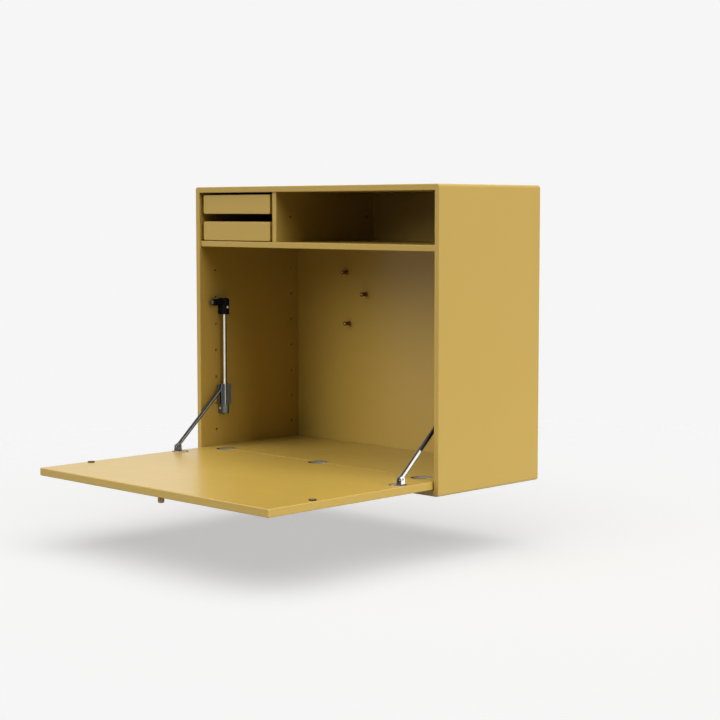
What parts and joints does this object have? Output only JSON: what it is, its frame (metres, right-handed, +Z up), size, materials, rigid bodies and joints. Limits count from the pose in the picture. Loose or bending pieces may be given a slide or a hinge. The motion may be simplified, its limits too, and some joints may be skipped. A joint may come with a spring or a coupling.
{
  "type": "fold down wall desk",
  "caption": "Wall-hung lacquered cabinet whose front folds down on braked stays into a desk top, with small pull-out trays and an open compartment above.",
  "frame": {"origin": "on the wall face, midway between the two wall screws", "axes": "+Z up, +Y into the wall, +X to the right for someone who faces the desk"},
  "size_m": [0.696, 0.7095, 0.588],
  "materials": {
    "lacquer": "mustard satin lacquer over fibreboard",
    "hinge_grey": "nickel-plated zinc casting",
    "steel": "bright zinc-plated steel",
    "rod_chrome": "polished chrome",
    "foot_grey": "plain die-cast grey",
    "bracket_black": "black moulded plastic, satin",
    "slider_grey": "dark grey moulded plastic",
    "arm_steel": "nickel-plated steel",
    "socket_nickel": "nickel-plated zinc casting",
    "magnet_steel": "nickel-plated magnet",
    "strike_steel": "dark steel disc",
    "runner_plastic": "black plastic runner",
    "dowel_wood": "bare beech",
    "peg_brown": "dark brown moulded plastic"
  },
  "bodies": {
    "cabinet": {"back_panel": "lacquer", "base_panel": "lacquer", "bottom_board": "lacquer", "divider": "lacquer", "divider_dowels": "dowel_wood", "hanging_rail": "steel", "left_catch_magnet": "magnet_steel", "left_hinge_base": "hinge_grey", "left_hinge_pin": "steel", "left_side_panel": "lacquer", "left_stay_bracket": "bracket_black", "left_stay_foot": "foot_grey", "left_stay_rod": "rod_chrome", "lower_tray_left_runner": "runner_plastic", "lower_tray_right_runner": "runner_plastic", "middle_hinge_base": "hinge_grey", "middle_hinge_pin": "steel", "pegs": "peg_brown", "right_catch_magnet": "magnet_steel", "right_hinge_base": "hinge_grey", "right_hinge_pin": "steel", "right_side_panel": "lacquer", "right_stay_bracket": "bracket_black", "right_stay_foot": "foot_grey", "right_stay_rod": "rod_chrome", "shelf": "lacquer", "shelf_dowels": "dowel_wood", "top_board": "lacquer", "upper_tray_left_runner": "runner_plastic", "upper_tray_right_runner": "runner_plastic"},
    "flap": {"flap_panel": "lacquer", "knob": "lacquer", "left_arm_socket": "socket_nickel", "left_hinge_cup": "hinge_grey", "left_socket_pin": "socket_nickel", "left_strike": "strike_steel", "middle_hinge_cup": "hinge_grey", "right_arm_socket": "socket_nickel", "right_hinge_cup": "hinge_grey", "right_socket_pin": "socket_nickel", "right_strike": "strike_steel"},
    "left_slider": {"left_slider": "slider_grey"},
    "right_slider": {"right_slider": "slider_grey"},
    "left_arm": {"left_arm": "arm_steel"},
    "right_arm": {"right_arm": "arm_steel"},
    "upper_tray": {"upper_tray_back": "lacquer", "upper_tray_bottom": "lacquer", "upper_tray_front": "lacquer", "upper_tray_left_side": "lacquer", "upper_tray_right_side": "lacquer"},
    "lower_tray": {"lower_tray_back": "lacquer", "lower_tray_bottom": "lacquer", "lower_tray_front": "lacquer", "lower_tray_left_side": "lacquer", "lower_tray_right_side": "lacquer"}
  },
  "joints": [
    {"name": "flap_hinge", "type": "hinge", "parent": "cabinet", "child": "flap", "pos_m": [0, -0.2795, -0.4965], "axis": [-1, 0, 0], "range_deg": [0, 90]},
    {"name": "left_slider_slide", "type": "slide", "parent": "cabinet", "child": "left_slider", "axis": [0, 0, 1], "range_m": [0, 0.12632]},
    {"name": "left_arm_pivot", "type": "hinge", "parent": "flap", "child": "left_arm", "pos_m": [-0.3225, -0.3697, -0.48], "axis": [1, 0, 0], "range_deg": [0, 132.13]},
    {"name": "right_slider_slide", "type": "slide", "parent": "cabinet", "child": "right_slider", "axis": [0, 0, 1], "range_m": [0, 0.12632]},
    {"name": "right_arm_pivot", "type": "hinge", "parent": "flap", "child": "right_arm", "pos_m": [0.3225, -0.3697, -0.48], "axis": [1, 0, 0], "range_deg": [0, 132.13]},
    {"name": "upper_tray_slide", "type": "slide", "parent": "cabinet", "child": "upper_tray", "axis": [0, -1, 0], "range_m": [0, 0.2]},
    {"name": "lower_tray_slide", "type": "slide", "parent": "cabinet", "child": "lower_tray", "axis": [0, -1, 0], "range_m": [0, 0.2]}
  ],
  "couplings": [
    {"joint": "left_slider_slide", "follows": "flap_hinge", "m_per_rad": 0.080354},
    {"joint": "left_arm_pivot", "follows": "flap_hinge", "ratio": 1.467},
    {"joint": "right_slider_slide", "follows": "flap_hinge", "m_per_rad": 0.080354},
    {"joint": "right_arm_pivot", "follows": "flap_hinge", "ratio": 1.467}
  ]
}
